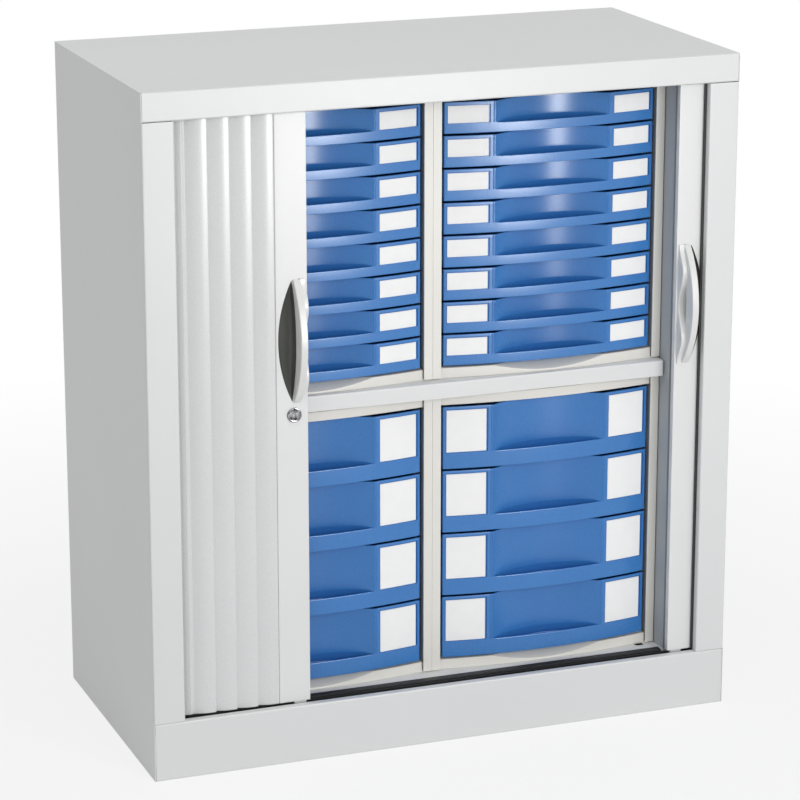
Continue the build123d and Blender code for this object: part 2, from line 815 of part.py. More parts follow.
top_panel()
side_panel(-1, "left_side_panel")
side_panel(1, "right_side_panel")
back_panel()
plinth()
base_panel()
floor_plate()
ceiling_plate()
liner(-1, "left_liner")
liner(1, "right_liner")
mid_shelf()
shelf_clips()
levelling_feet()

top_track_low = ceiling_level - top_track_height
track(base_top, bottom_track_top, groove_floor, bottom_track_top, "bottom_track")
track(top_track_low, ceiling_level, top_track_low, groove_roof, "top_track")

lock_place = (-(left_door_edge + lock_inset), lock_height)
lead_lath(-1, left_door_edge, lock_place, "left_lead_lath")
lead_lath(1, open_edge, None, "right_lead_lath")
for side, edge, word in ((-1, left_door_edge, "left"), (1, open_edge, "right")):
    handle_cup(side, edge, f"{word}_handle_cup")
    handle(side, edge, f"{word}_handle")
    handle_screws(side, edge, f"{word}_handle_screws")
lock(lock_place)

left_joints = slat_joints(left_door_edge)
right_joints = slat_joints(open_edge)
past_corner = [length for length in left_joints if length >= corner_end]
before_corner = left_joints[: len(left_joints) - len(past_corner) + 1]
slats(-1, before_corner, "left_front_slats")
slats(-1, past_corner[:-1], "left_side_slats")
tail_slat(-1, left_joints[-2:], "left_tail_slat")
slats(1, right_joints[:-1], "right_side_slats")
tail_slat(1, right_joints[-2:], "right_tail_slat")

for side, word in ((-1, "left"), (1, "right")):
    x_mid = side * housing_middle
    for z_low, rows, lip, storey in (
        (floor_level, deep_rows, deep_lip, "lower"),
        (upper_level, shallow_rows, shallow_lip, "upper"),
    ):
        housing(x_mid, z_low, rows, f"{storey}_{word}_housing")
        front_height = front_heights(rows)[0]
        for row in range(rows):
            name = f"{storey}_{word}_drawer_{row + 1}"
            drawer(x_mid, z_low + drawer_level(row, rows), front_height, lip, name)
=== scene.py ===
from collections import Counter

import bpy
import numpy as np
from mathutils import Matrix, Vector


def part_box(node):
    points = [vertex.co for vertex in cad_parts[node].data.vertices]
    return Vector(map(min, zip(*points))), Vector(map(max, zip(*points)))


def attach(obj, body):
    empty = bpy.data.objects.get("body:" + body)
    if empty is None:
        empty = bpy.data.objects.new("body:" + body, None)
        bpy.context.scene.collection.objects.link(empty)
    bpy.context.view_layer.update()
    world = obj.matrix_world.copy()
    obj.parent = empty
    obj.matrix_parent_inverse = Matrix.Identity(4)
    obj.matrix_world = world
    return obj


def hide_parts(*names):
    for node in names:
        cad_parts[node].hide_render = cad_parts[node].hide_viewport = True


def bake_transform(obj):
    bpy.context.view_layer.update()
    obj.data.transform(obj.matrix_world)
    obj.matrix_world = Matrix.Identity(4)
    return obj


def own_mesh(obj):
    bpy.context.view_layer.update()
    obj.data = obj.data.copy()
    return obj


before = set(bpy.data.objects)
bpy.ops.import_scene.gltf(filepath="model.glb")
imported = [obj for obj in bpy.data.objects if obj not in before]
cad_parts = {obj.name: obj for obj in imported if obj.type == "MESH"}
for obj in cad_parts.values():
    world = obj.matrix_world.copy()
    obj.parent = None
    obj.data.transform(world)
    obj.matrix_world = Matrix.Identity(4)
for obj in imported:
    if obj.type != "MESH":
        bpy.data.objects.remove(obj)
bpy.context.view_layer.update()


# Camera: it stands to the left of the cabinet's front, higher than its top,
# and looks down on it through a long lens.
view_turn = 0.3613
view_tilt = 0.2779
camera_data = bpy.data.cameras.new("camera")
camera_data.sensor_width = 36.0
camera_data.lens = 144.8
camera_data.clip_end = 100.0
camera = bpy.data.objects.new("camera", camera_data)
camera.location = (-1.6634, -4.4172, 1.8213)
camera.rotation_euler = (np.pi / 2 - view_tilt, 0.0, -view_turn)
bpy.context.scene.collection.objects.link(camera)
bpy.context.scene.camera = camera
bpy.context.scene.view_settings.view_transform = "Standard"


# Studio: a large pale floor, white to the camera and in reflections, under an
# even sky. The sky alone lights what the softboxes don't reach.
def seen_directly(tree):
    """Output that is 1 for camera, glossy and transmission rays, else 0: the largest of the three."""
    path = tree.nodes.new("ShaderNodeLightPath")
    mirrored = tree.nodes.new("ShaderNodeMath")
    mirrored.operation = "MAXIMUM"
    tree.links.new(path.outputs["Is Glossy Ray"], mirrored.inputs[0])
    tree.links.new(path.outputs["Is Transmission Ray"], mirrored.inputs[1])
    direct = tree.nodes.new("ShaderNodeMath")
    direct.operation = "MAXIMUM"
    tree.links.new(path.outputs["Is Camera Ray"], direct.inputs[0])
    tree.links.new(mirrored.outputs[0], direct.inputs[1])
    return direct.outputs[0]


def mapped(tree, source, low, high, from_low=0.0, from_high=1.0):
    """Output that runs from low to high as the source runs from from_low to from_high."""
    ramp = tree.nodes.new("ShaderNodeMapRange")
    ramp.inputs["From Min"].default_value = from_low
    ramp.inputs["From Max"].default_value = from_high
    ramp.inputs["To Min"].default_value = low
    ramp.inputs["To Max"].default_value = high
    tree.links.new(source, ramp.inputs["Value"])
    return ramp.outputs["Result"]


sky_level = 0.47
world = bpy.data.worlds.new("studio")
world.use_nodes = True
bpy.context.scene.world = world
sky = world.node_tree.nodes["Background"]
sky.inputs["Color"].default_value = (1.0, 1.0, 1.0, 1.0)
sky_strength = mapped(world.node_tree, seen_directly(world.node_tree), sky_level, 1.0)
world.node_tree.links.new(sky_strength, sky.inputs["Strength"])

floor_size = 40.0
floor_drop = 0.0004
floor_grey = 0.8
floor_glow = (0.8, 1.0)
glow_reach = (0.7, 2.0)
floor_material = bpy.data.materials.new("studio_floor")
floor_material.use_nodes = True
floor_tree = floor_material.node_tree
floor_tree.nodes.clear()
floor_matt = floor_tree.nodes.new("ShaderNodeBsdfDiffuse")
floor_matt.inputs["Color"].default_value = (floor_grey, floor_grey, floor_grey, 1.0)
floor_light = floor_tree.nodes.new("ShaderNodeEmission")
floor_light.inputs["Strength"].default_value = 1.0
floor_place = floor_tree.nodes.new("ShaderNodeTexCoord")
floor_distance = floor_tree.nodes.new("ShaderNodeVectorMath")
floor_distance.operation = "LENGTH"
floor_tree.links.new(floor_place.outputs["Object"], floor_distance.inputs[0])
glow = mapped(floor_tree, floor_distance.outputs["Value"], *floor_glow, *glow_reach)
floor_share = floor_tree.nodes.new("ShaderNodeMath")
floor_share.operation = "MULTIPLY"
floor_tree.links.new(glow, floor_share.inputs[0])
floor_tree.links.new(seen_directly(floor_tree), floor_share.inputs[1])
floor_mix = floor_tree.nodes.new("ShaderNodeMixShader")
floor_tree.links.new(floor_share.outputs[0], floor_mix.inputs["Fac"])
floor_tree.links.new(floor_matt.outputs[0], floor_mix.inputs[1])
floor_tree.links.new(floor_light.outputs[0], floor_mix.inputs[2])
floor_output = floor_tree.nodes.new("ShaderNodeOutputMaterial")
floor_tree.links.new(floor_mix.outputs[0], floor_output.inputs["Surface"])
floor_corners = floor_size / 2 * np.array([(-1, -1), (1, -1), (1, 1), (-1, 1)])
floor_mesh = bpy.data.meshes.new("floor")
floor_mesh.from_pydata([(x, y, -floor_drop) for x, y in floor_corners], [], [(0, 1, 2, 3)])
floor_mesh.materials.append(floor_material)
floor = bpy.data.objects.new("floor", floor_mesh)
bpy.context.scene.collection.objects.link(floor)


# Softboxes: a large one in front and to the right, a weaker one overhead, and
# a small one low in front, for the gloss of the drawers.
def softbox(name, place, aim, width, height, watts, diffuse=True):
    """Rectangular lamp at a place that shines at the aim. Without diffuse it only gives gloss."""
    lamp = bpy.data.lights.new(name, "AREA")
    lamp.shape = "RECTANGLE"
    lamp.size = width
    lamp.size_y = height
    lamp.energy = watts
    box = bpy.data.objects.new(name, lamp)
    box.location = place
    box.visible_camera = False
    box.visible_diffuse = diffuse
    look = [end - start for start, end in zip(place, aim)]
    box.rotation_euler = Vector(look).to_track_quat("-Z", "Y").to_euler()
    bpy.context.scene.collection.objects.link(box)


softbox("key_softbox", (1.3, -4.8, 1.9), (0.0, 0.0, 0.6), 2.4, 2.0, 98.0)
softbox("top_softbox", (-0.6, -0.6, 3.6), (0.0, 0.0, 1.0), 2.5, 2.5, 16.0)
softbox("strip_softbox", (0.7, -2.6, 0.58), (0.0, 0.0, 0.7), 0.6, 0.5, 28.0, diffuse=False)


# Side panels: folded from 1.2 mm steel sheet and powder coated light grey.
# Each has a stile folded along its front edge, whose inner edge turns back,
# and flanges at the bottom, the top and the back.
def tone(red, green, blue):
    """Colour written with screen values from 0 to 255, as the linear values that a shader takes."""
    share = np.array([red, green, blue]) / 255
    linear = np.where(share < 0.04045, share / 12.92, ((share + 0.055) / 1.055) ** 2.4)
    return (*linear.tolist(), 1.0)


def coating(name, colour, other, patch, roughness, grain, relief, metallic=0.0):
    """Finish whose colour drifts between two tones in patches, with a fine grain.
    The two are near tones, except on the lock's nickel, where the dark one is painted reflection.

    Patch and grain are sizes in metres. The grain is a noise that lifts the surface
    by up to relief metres and moves the roughness by a tenth either way.
    """
    noise_range = (0.3, 0.7)
    material = bpy.data.materials.new(name)
    material.use_nodes = True
    tree = material.node_tree
    shader = tree.nodes["Principled BSDF"]
    shader.inputs["Metallic"].default_value = metallic
    place = tree.nodes.new("ShaderNodeTexCoord")
    drift = tree.nodes.new("ShaderNodeTexNoise")
    drift.inputs["Scale"].default_value = 1 / patch
    drift.inputs["Detail"].default_value = 3.0
    tree.links.new(place.outputs["Object"], drift.inputs["Vector"])
    mix = tree.nodes.new("ShaderNodeMix")
    mix.data_type = "RGBA"
    mix.inputs["A"].default_value = colour
    mix.inputs["B"].default_value = other
    tree.links.new(mapped(tree, drift.outputs["Fac"], 0.0, 1.0, *noise_range), mix.inputs["Factor"])
    tree.links.new(mix.outputs["Result"], shader.inputs["Base Color"])
    peel = tree.nodes.new("ShaderNodeTexNoise")
    peel.inputs["Scale"].default_value = 1 / grain
    peel.inputs["Detail"].default_value = 2.0
    tree.links.new(place.outputs["Object"], peel.inputs["Vector"])
    rough = mapped(tree, peel.outputs["Fac"], 0.9 * roughness, 1.1 * roughness, *noise_range)
    tree.links.new(rough, shader.inputs["Roughness"])
    bump = tree.nodes.new("ShaderNodeBump")
    bump.inputs["Strength"].default_value = 1.0
    bump.inputs["Distance"].default_value = relief
    tree.links.new(peel.outputs["Fac"], bump.inputs["Height"])
    tree.links.new(bump.outputs["Normal"], shader.inputs["Normal"])
    return material


def cleaned(points, faces):
    """Points that coincide become one.

    Faces shrunk to a line are dropped, and so are two faces with the same corners.
    """
    kept, index = np.unique(np.round(points, 4), axis=0, return_inverse=True)
    faces = [list(dict.fromkeys(face)) for face in index.reshape(-1)[faces].tolist()]
    faces = [face for face in faces if len(face) > 2]
    corners = [tuple(sorted(face)) for face in faces]
    count = Counter(corners)
    return kept, [face for face, key in zip(faces, corners) if count[key] == 1]


def volume(points, quads):
    """Six times the volume inside four-sided faces, negative if they point inwards.

    Each face is cut into two triangles, and their tetrahedra from the origin add up.
    """
    a, b, c, d = (points[quads[:, corner]] for corner in range(4))
    return np.sum(a * np.cross(b, c)) + np.sum(a * np.cross(c, d))


def between(front, back):
    """Closed solid between two grids of points, (rows, columns, 3), with a wall round their borders."""
    rows, columns = front.shape[:2]
    index = np.arange(rows * columns).reshape(rows, columns)
    skin = np.stack([index[:-1, :-1], index[:-1, 1:], index[1:, 1:], index[1:, :-1]], axis=-1)
    skin = skin.reshape(-1, 4)
    border = np.concatenate([index[0], index[1:, -1], index[-1, -2::-1], index[-2::-1, 0]])
    after = border[1:]
    border = border[:-1]
    other = rows * columns
    wall = np.stack([after, border, border + other, after + other], axis=-1)
    quads = np.concatenate([skin, skin[:, ::-1] + other, wall])
    points = np.concatenate([front.reshape(-1, 3), back.reshape(-1, 3)])
    if volume(points, quads) < 0:
        quads = quads[:, ::-1]
    return cleaned(points, quads)


def slab(x, depth, z):
    """Straight block between (low, high) pairs of width, depth and height."""
    corners = np.array([[(x[i], 0.0, z[j]) for j in (0, 1)] for i in (0, 1)], float)
    return between(corners + (0, depth[0], 0), corners + (0, depth[1], 0))


def rounded_line(corners, radius, steps=6):
    """Line through the corners, each inner one rounded off.

    The rounding is a parabola that leaves each leg a radius away from the corner.
    """
    corners = np.array(corners, float)
    share = np.linspace(0, 1, steps)[:, None]
    line = [corners[:1]]
    for before, corner, after in zip(corners, corners[1:], corners[2:]):
        start = corner + (before - corner) * radius / np.linalg.norm(before - corner)
        end = corner + (after - corner) * radius / np.linalg.norm(after - corner)
        line.append((1 - share) ** 2 * start + 2 * share * (1 - share) * corner + share**2 * end)
    line.append(corners[-1:])
    return np.concatenate(line)


def offset_line(line, distance):
    """Line moved sideways: each point goes along the mean normal of its two legs, far enough for both."""
    legs = np.diff(line, axis=0)
    legs = legs / np.linalg.norm(legs, axis=1, keepdims=True)
    normals = np.stack([-legs[:, 1], legs[:, 0]], axis=1)
    before = np.concatenate([normals[:1], normals])
    after = np.concatenate([normals, normals[-1:]])
    middle = before + after
    middle = middle / np.linalg.norm(middle, axis=1, keepdims=True)
    return line + middle * distance / np.sum(middle * before, axis=1, keepdims=True)


def carried(line, axis, low, high):
    """Grid of a flat line carried along axis 0, 1 or 2, from low to high.

    Each of the two may be one value for each point of the line.
    """
    grid = np.empty((len(line), 2, 3))
    across = [other for other in range(3) if other != axis]
    grid[..., across[0]] = line[:, :1]
    grid[..., across[1]] = line[:, 1:]
    grid[..., axis] = np.stack([low + 0 * line[:, 0], high + 0 * line[:, 0]], axis=1)
    return grid


def folded(line, thickness, axis, low, high):
    """Folded sheet: the line is one face seen along the axis, and the other lies a thickness beside it."""
    other = offset_line(line, thickness)
    return between(carried(line, axis, low, high), carried(other, axis, low, high))


front_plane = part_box("top_panel")[0][1] * 1000


def make_piece(name, solids, body, material, replaced=(), smooth=35.0):
    """Mesh object of closed solids given in millimetres as (x, depth, z), placed in the frame in metres."""
    points = []
    faces = []
    for solid_points, solid_faces in solids:
        first = sum(len(part) for part in points)
        points.append(solid_points)
        faces.extend([[first + corner for corner in face] for face in solid_faces])
    points = (np.concatenate(points) + (0, front_plane, 0)) / 1000
    mesh = bpy.data.meshes.new(name)
    mesh.from_pydata(points.tolist(), [], faces)
    mesh.validate()
    mesh.shade_smooth()
    mesh.set_sharp_from_angle(angle=np.radians(smooth))
    mesh.materials.append(material)
    piece = bpy.data.objects.new(name, mesh)
    bpy.context.scene.collection.objects.link(piece)
    weighted = piece.modifiers.new("flat_faces", "WEIGHTED_NORMAL")
    weighted.keep_sharp = True
    if body:
        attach(piece, body)
    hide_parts(*replaced)
    return piece


sheet = 1.2
fold = 2.6
half_width = 457.0
body_height = 1016.0
body_depth = 457.0
inner_back = body_depth - sheet
inner_top = body_height - sheet
stile_edge = 410.0
stile_return = 10.6
stile_low = 88.5
stile_high = 973.5
side_front = fold + 0.5
flange_edges = (half_width - 16.2, half_width - 0.2)
foot_flange_front = 1.7
grey_coat = coating(
    "light_grey_powder_coat", tone(226, 227, 227), tone(223, 224, 224), 0.35, 0.4, 0.0016, 0.00003
)
stile_corners = [(half_width, side_front), (half_width, 0.0), (stile_edge, 0.0), (stile_edge, stile_return)]
for side, word in ((-1, "left"), (1, "right")):
    stile_line = rounded_line(stile_corners, fold) * (side, 1)
    outer = sorted((side * (half_width - sheet), side * half_width))
    flange = sorted(side * edge for edge in flange_edges)
    panel = [
        folded(stile_line, -side * sheet, 2, stile_low, stile_high),
        slab(outer, (side_front, body_depth), (0.0, inner_top)),
        slab(outer, (0.0, side_front), (0.0, stile_low)),
        slab(outer, (0.0, side_front), (stile_high, inner_top)),
        slab(flange, (foot_flange_front, inner_back), (0.0, sheet)),
        slab(flange, (sheet, inner_back), (inner_top - sheet, inner_top)),
        slab(flange, (inner_back - sheet, inner_back), (0.0, inner_top)),
    ]
    make_piece(f"{word}_side", panel, "carcass", grey_coat, [f"{word}_side_panel"])


# Top panel: a lid of the same coated sheet. Its front edge is folded down into
# a deep fascia, a little narrower, whose lower edge is turned back.
fascia_low = 974.0
fascia_half = 455.3
fascia_return = 11.0
# A second point this far from the end of a bend makes a sharp step in the width.
step_length = 0.01
lid_corners = [(body_depth, body_height), (0.0, body_height), (0.0, fascia_low), (fascia_return, fascia_low)]
lid_line = rounded_line(lid_corners, fold)
lid_line = np.insert(lid_line, 1, lid_line[1] + (step_length, 0.0), axis=0)
lid_half = np.where(np.arange(len(lid_line)) < 2, half_width, fascia_half)
lid = folded(lid_line, sheet, 0, -lid_half, lid_half)
make_piece("lid", [lid], "carcass", grey_coat, ["top_panel"])


# Base: the plinth plate in front, with its edges turned back, the base panel
# that the feet are screwed to, and the floor plate with a hole over each foot.
def coat_node(name, material):
    """Gives a piece of the frame its finish in place of the plain one."""
    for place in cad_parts[name].material_slots:
        place.material = material


plinth_height = 88.0
plinth_half = 455.3
plinth_return = 11.0
plinth_foot = 15.0
plinth_foot_half = 440.3
plinth_corners = [(plinth_return, plinth_height), (0.0, plinth_height), (0.0, 0.0), (plinth_foot, 0.0)]
plinth_line = rounded_line(plinth_corners, fold)
plinth_bend = len(plinth_line) - 2
plinth_line = np.insert(plinth_line, plinth_bend + 1, plinth_line[plinth_bend] + (step_length, 0.0), axis=0)
plinth_ends = np.where(np.arange(len(plinth_line)) <= plinth_bend, plinth_half, plinth_foot_half)
plinth_plate = folded(plinth_line, sheet, 0, -plinth_ends, plinth_ends)
make_piece("plinth_plate", [plinth_plate], "carcass", grey_coat, ["plinth"])
coat_node("base_panel", grey_coat)
coat_node("floor_plate", grey_coat)


# Ceiling plate and back panel: plain coated sheets that close the body above
# the upper track and behind the drawer housings.
coat_node("ceiling_plate", grey_coat)
coat_node("back_panel", grey_coat)


# Liners: upright coated sheets between the drawer housings and the stowed
# slats, a shade bluer, each with a narrow slot in its front return.
liner_coat = coating(
    "blue_grey_powder_coat", tone(180, 185, 188), tone(175, 180, 183), 0.3, 0.5, 0.0016, 0.00003
)
coat_node("left_liner", liner_coat)
coat_node("right_liner", liner_coat)


# Middle shelf: a shallow upside-down tray of folded sheet between the lower
# and upper housings, with rounded front corners. It lies on four zinc clips.
shelf_half = 368.5
shelf_front = 48.0
shelf_back = 440.0
shelf_corner = 4.0
shelf_low = 521.5
shelf_high = 545.5
shelf_fold = 2.4
shelf_reach = 150.0
shelf_lap = 0.1


def shelf_outline(inset):
    """Rectangle with rounded corners, moved in by the inset: four quarter turns joined by straight sides."""
    turn = np.linspace(0, np.pi / 2, 6)
    radius = max(shelf_corner - inset, 0.05)
    wide = shelf_half - inset - radius
    front = shelf_front + inset + radius
    back = shelf_back - inset - radius
    quarters = []
    corners = ((wide, back), (-wide, back), (-wide, front), (wide, front))
    for quarter, (x, depth) in enumerate(corners):
        angle = turn + quarter * np.pi / 2
        quarters.append(np.stack([x + radius * np.cos(angle), depth + radius * np.sin(angle)], axis=1))
    outline = np.concatenate(quarters)
    return np.concatenate([outline, outline[:1]])


def shelf_skin(insets, heights, shrink):
    """Grid of the shelf's skin: one outline for each pair of inset and height, all moved in by shrink."""
    rows = []
    for inset, height in zip(insets, heights):
        outline = shelf_outline(inset + shrink)
        rows.append(np.column_stack([outline, height + 0 * outline[:, 0]]))
    return np.stack(rows)


shelf_turn = np.linspace(0, np.pi / 2, 6)
shelf_insets = np.concatenate([[0.0], shelf_fold * (1 - np.cos(shelf_turn)), [shelf_reach]])
shelf_bend = shelf_high - shelf_fold * (1 - np.sin(shelf_turn))
shelf_heights = np.concatenate([[shelf_low], shelf_bend, [shelf_high]])
shelf_outside = shelf_skin(shelf_insets, shelf_heights, 0.0)
shelf_drop = sheet * (shelf_heights > shelf_low)
shelf_inside = shelf_skin(shelf_insets, shelf_heights - shelf_drop, sheet)
shelf_hole = shelf_half - shelf_reach + shelf_lap
shelf_hole_depth = (shelf_front + shelf_reach - shelf_lap, shelf_back - shelf_reach + shelf_lap)
shelf_middle = slab((-shelf_hole, shelf_hole), shelf_hole_depth, (shelf_high - sheet, shelf_high))
shelf_solids = [between(shelf_outside, shelf_inside), shelf_middle]
make_piece("shelf", shelf_solids, "carcass", grey_coat, ["mid_shelf"])
zinc = coating(
    "zinc_plate", tone(186, 188, 190), tone(170, 173, 176), 0.006, 0.32, 0.0006, 0.00001, metallic=1.0
)
coat_node("shelf_clips", zinc)


# Tracks: black plastic channels along the whole path of the slats, one on the
# base panel and one under the ceiling plate.
track_black = coating("black_track_plastic", tone(20, 20, 22), tone(26, 26, 28), 0.05, 0.5, 0.0008, 0.00002)
coat_node("bottom_track", track_black)
coat_node("top_track", track_black)


# Shade strips: black strips behind the returns of the stiles, painted shade. Each
# fills most of the gap between the return and the slats that run past it, where
# only deep shade falls.
def prism(outline, axis, low, high):
    """Closed flat outline carried straight along axis 0, 1 or 2, with a flat face at each end."""
    count = len(outline)
    across = [other for other in range(3) if other != axis]
    points = np.empty((2, count, 3))
    points[..., across] = outline
    points[0, :, axis] = low
    points[1, :, axis] = high
    here = np.arange(count)
    after = np.roll(here, -1)
    walls = np.stack([here, after, after + count, here + count], axis=-1).tolist()
    faces = walls + [here[::-1].tolist(), (here + count).tolist()]
    x, y = outline.T
    turns = np.sum(x * np.roll(y, -1) - np.roll(x, -1) * y) * (-1 if axis == 1 else 1)
    if turns < 0:
        faces = [face[::-1] for face in faces]
    return points.reshape(-1, 3), faces


shade_strip_low = 90.0
shade_strip_high = 972.0
shade_strip_profile = np.array([
    (407.2, 10.7), (411.3, 10.7), (411.3, 6.0), (412.6, 6.0), (412.6, 15.1), (407.9, 15.1), (407.2, 14.4),
])
# Each strip is painted shade: a black filling for the shaded gap behind a return.
for side, word in ((-1, "left"), (1, "right")):
    shade_strip = prism(shade_strip_profile * (side, 1), 2, shade_strip_low, shade_strip_high)
    make_piece(f"{word}_painted_shade_strip", [shade_strip], "carcass", track_black)


# Track apron: a thin black plastic angle clipped over the front edge of the
# floor plate, behind the bottom track, between the liners.
apron_half = 366.0
apron_profile = np.array([(31.2, 80.0), (31.2, 87.7), (43.0, 87.7), (43.0, 87.1), (31.9, 87.1), (31.9, 80.0)])
apron = prism(apron_profile, 0, -apron_half, apron_half)
make_piece("track_apron", [apron], "carcass", track_black)


# Levelling feet: zinc-plated pads, studs and nuts under the base panel, one
# near each corner.
coat_node("levelling_feet", zinc)


# Drawer housings: moulded off-white shells, each with two rounded pillars and
# two bowed rails in front. The bottom rail is hollowed to reach the lowest drawer.
housing_height = 432.0
housing_half = 184.0
housing_back = 440.0
housing_middle = 184.4
housing_wall = 2.0
side_wall_front = 72.0
shell_front = 71.2
rail_half = 170.8
rail_middle = 56.0
rail_ends = 71.0
rail_back = 90.0
bottom_rail = 16.0
top_rail = 15.0
scoop_half = 88.0
scoop_lean = 22.0
pillar_low = 1.8
pillar_face = 66.0
pillar_back = 87.0
pillar_lip = 2.2
pillar_root = 173.5
pillar_middle = (176.0, 176.5)
pillar_end = 184.3
rib_reach = 163.0
rib_front = 120.0
rib_end_gap = 13.0
rib_heights = (0.7, 2.7)


def arc_radius(half_chord, rise):
    """Radius of the arc over a chord of twice half_chord, rise high in its middle."""
    return (half_chord**2 + rise**2) / (2 * rise)


def bow(x, half_chord, middle, ends):
    """Depth of an arc at x that is at depth middle on the axis and at depth ends half a chord away."""
    radius = arc_radius(half_chord, ends - middle)
    return middle + radius - np.sqrt(radius**2 - x**2)


def grid_of(x, heights, depths):
    """Grid of points over the places x, with a row for each height and its depth.

    Each of the two is one value or one for each place.
    """
    z = np.stack([height + 0 * x for height in heights])
    y = np.stack([depth + 0 * x for depth in depths])
    return np.stack([x + 0 * z, y, z], axis=-1)


def rail(height, scoop):
    """Bowed rail with its edges rounded. With scoop 1, its face leans back above a parabola.

    The parabola is lowest in the middle, where it nearly reaches the lower edge.
    """
    bow_places = np.linspace(-rail_half, rail_half, 41)
    scoop_places = np.linspace(-scoop_half, scoop_half, 45)
    x = np.unique(np.concatenate([bow_places, scoop_places]))
    front = bow(x, rail_half, rail_middle, rail_ends)
    lens = scoop * np.clip(1 - (x / scoop_half) ** 2, 0, None)
    crease = height - 1.2 - (height - 4.2) * lens
    lean = scoop_lean * lens
    rows = [
        (0, front + 1.4),
        (0.4, front + 0.4),
        (1.4, front),
        (crease - 0.4, front),
        (crease + 0.4, front + 0.3 * lens),
        (height - 0.4, front + 0.4 + lean),
        (height, front + 1.2 + lean),
    ]
    face = grid_of(x, *zip(*rows))
    back = face.copy()
    back[..., 1] = rail_back
    return between(face, back)


def moved(solid, x, z):
    """The same solid moved sideways and up."""
    points, faces = solid
    return points + (x, 0, z), faces


def pillar_outline():
    """Right pillar seen from above: a thin lip reaches past its root to the drawers, before a flat face."""
    lip_back = pillar_face + pillar_lip
    lip_corners = [
        (pillar_root, pillar_back),
        (pillar_root, lip_back),
        (rail_half, lip_back),
        (rail_half, pillar_face),
        (pillar_middle[0], pillar_face),
    ]
    end_corners = [(pillar_middle[1], pillar_face), (pillar_end, pillar_face), (pillar_end, pillar_back)]
    return np.concatenate([rounded_line(lip_corners, 0.8), rounded_line(end_corners, 0.4)])


def housing_solids(levels):
    """Everything of one housing, round x = 0 and up from z = 0: rails, pillars, walls and ribs."""
    solids = [rail(bottom_rail, 1.0), moved(rail(top_rail, 0.0), 0.0, housing_height - top_rail)]
    inner_half = housing_half - housing_wall
    for side in (-1, 1):
        wall_x = sorted((side * inner_half, side * housing_half))
        rib_x = sorted((side * rib_reach, side * inner_half))
        solids.append(prism(pillar_outline() * (side, 1), 2, pillar_low, housing_height))
        solids.append(slab(wall_x, (side_wall_front, housing_back), (0.0, housing_height)))
        for level in levels:
            rib_z = [level + height for height in rib_heights]
            solids.append(slab(rib_x, (rib_front, housing_back - rib_end_gap), rib_z))
    shell_x = (-housing_half, housing_half)
    shell_depth = (shell_front, housing_back)
    solids.append(slab(shell_x, shell_depth, (0.0, housing_wall)))
    solids.append(slab(shell_x, shell_depth, (housing_height - housing_wall, housing_height)))
    solids.append(slab(shell_x, (housing_back - housing_wall, housing_back), (0.0, housing_height)))
    return solids


drawer_gap = 3.2
stack_height = housing_height - bottom_rail - top_rail
deep_count = 4
shallow_count = 8
deep_height = (stack_height - (deep_count + 1) * drawer_gap) / deep_count
shallow_height = (stack_height - (shallow_count + 1) * drawer_gap) / shallow_count
first_level = bottom_rail + drawer_gap
deep_levels = first_level + np.arange(deep_count) * (deep_height + drawer_gap)
shallow_levels = first_level + np.arange(shallow_count) * (shallow_height + drawer_gap)
lower_level = 87.0
upper_level = shelf_high
housing_plastic = coating(
    "off_white_moulding", tone(232, 230, 224), tone(229, 227, 220), 0.2, 0.4, 0.0011, 0.00002
)
for storey, base, levels in (("lower", lower_level, deep_levels), ("upper", upper_level, shallow_levels)):
    for side, word in ((-1, "left"), (1, "right")):
        shell = [moved(solid, side * housing_middle, base) for solid in housing_solids(levels)]
        name = f"{storey}_{word}_housing"
        make_piece(f"{name}_shell", shell, "carcass", housing_plastic, [name])


# Drawers: blue mouldings with a bowed front. A lip runs along the lower edge,
# and above it a lens-shaped scoop leaves room for the fingers. A shallow
# recess on each side holds a white label card.
front_half = 169.75
front_middle = 53.0
front_ends = 71.0
front_wall = 3.0
grip_depth = 82.0
deep_lip = 24.5
shallow_lip = 14.5
trough_run = 9.0
trough_fall = 12.0
trough_floor = 4.5
foot_lean = 4.5
recess_depth = 2.4
recess_rim = 4.2
recess_step = 0.15
recess_inner = (98.0, 98.15)
recess_outer = (161.7, 161.85)
bead_height = 0.9
bead_width = 2.5
bead_starts = (88.0, 91.3)
# The ends of a front are rounded: places from its middle, and how far the face goes back there.
end_round = ([164.65, 165.55, 166.05, 166.2], [0.0, 0.1, 0.45, 1.0])
card_places = ((-160.4, -100.4), (99.2, 159.4))
card_thickness = 1.1
# Lower edge and height of a card.
deep_card = (25.65, 64.9)
shallow_card = (15.22, 25.6)


def front_columns():
    """Places across a drawer front: close together at its ends, at the recess edges and over the beads."""
    ends = [166.2, 166.05, 165.55, 164.65, 163.4, recess_outer[1], recess_outer[0]]
    middle = [148.0, 136.0, 124.0, 112.0, recess_inner[1], recess_inner[0]]
    beads = [93.8, 93.3, 92.8, 92.3, 91.8, 91.3, 90.9, 90.5, 90.1, 89.7, 89.2, 88.7, 88.3, scoop_half]
    scoop = [87.6, 86.8, 85.0, *np.linspace(82.0, 0.0, 22)]
    x = np.array(ends + middle + beads + scoop)
    return np.concatenate([-x, x[:-1][::-1]])


def beads_at(away):
    """Height of the two upright beads beside the scoop: half a sine wave across each."""
    total = 0.0
    for start in bead_starts:
        total = total + bead_height * np.sin(np.pi * np.clip((away - start) / bead_width, 0, 1))
    return total


